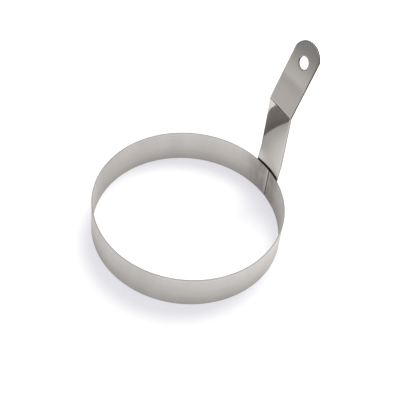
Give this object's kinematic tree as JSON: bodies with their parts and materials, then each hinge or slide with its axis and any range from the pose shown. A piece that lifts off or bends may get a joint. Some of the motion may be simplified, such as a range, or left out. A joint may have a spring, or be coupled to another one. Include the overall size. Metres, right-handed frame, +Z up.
{
  "type": "egg ring",
  "caption": "Flat metal band rolled into a ring with a butt seam, closed by a bent strap handle spot-welded outside it; the handle leans outward and ends in a round tip with a hang hole",
  "frame": {"origin": "middle of the object's footprint box, on the plane that the band's lower edge rests on", "axes": "+X from the ring's centre towards the handle, +Y to the left of the handle seen from the ring's centre, +Z up"},
  "size_m": [0.1442, 0.127, 0.1302],
  "materials": {
    "band_steel": "satin rolled stainless sheet, grain round the band",
    "strap_steel": "bright rolled stainless strap, nearly mirror-like with faint grain along it",
    "weld_steel": "dull fused steel of the spot welds, hidden between the sheets"
  },
  "bodies": {
    "root": {"ring_band": "band_steel", "handle_strap": "strap_steel", "weld_nugget_left_upper": "weld_steel", "weld_nugget_left_lower": "weld_steel", "weld_nugget_right_upper": "weld_steel", "weld_nugget_right_lower": "weld_steel"}
  },
  "joints": []
}
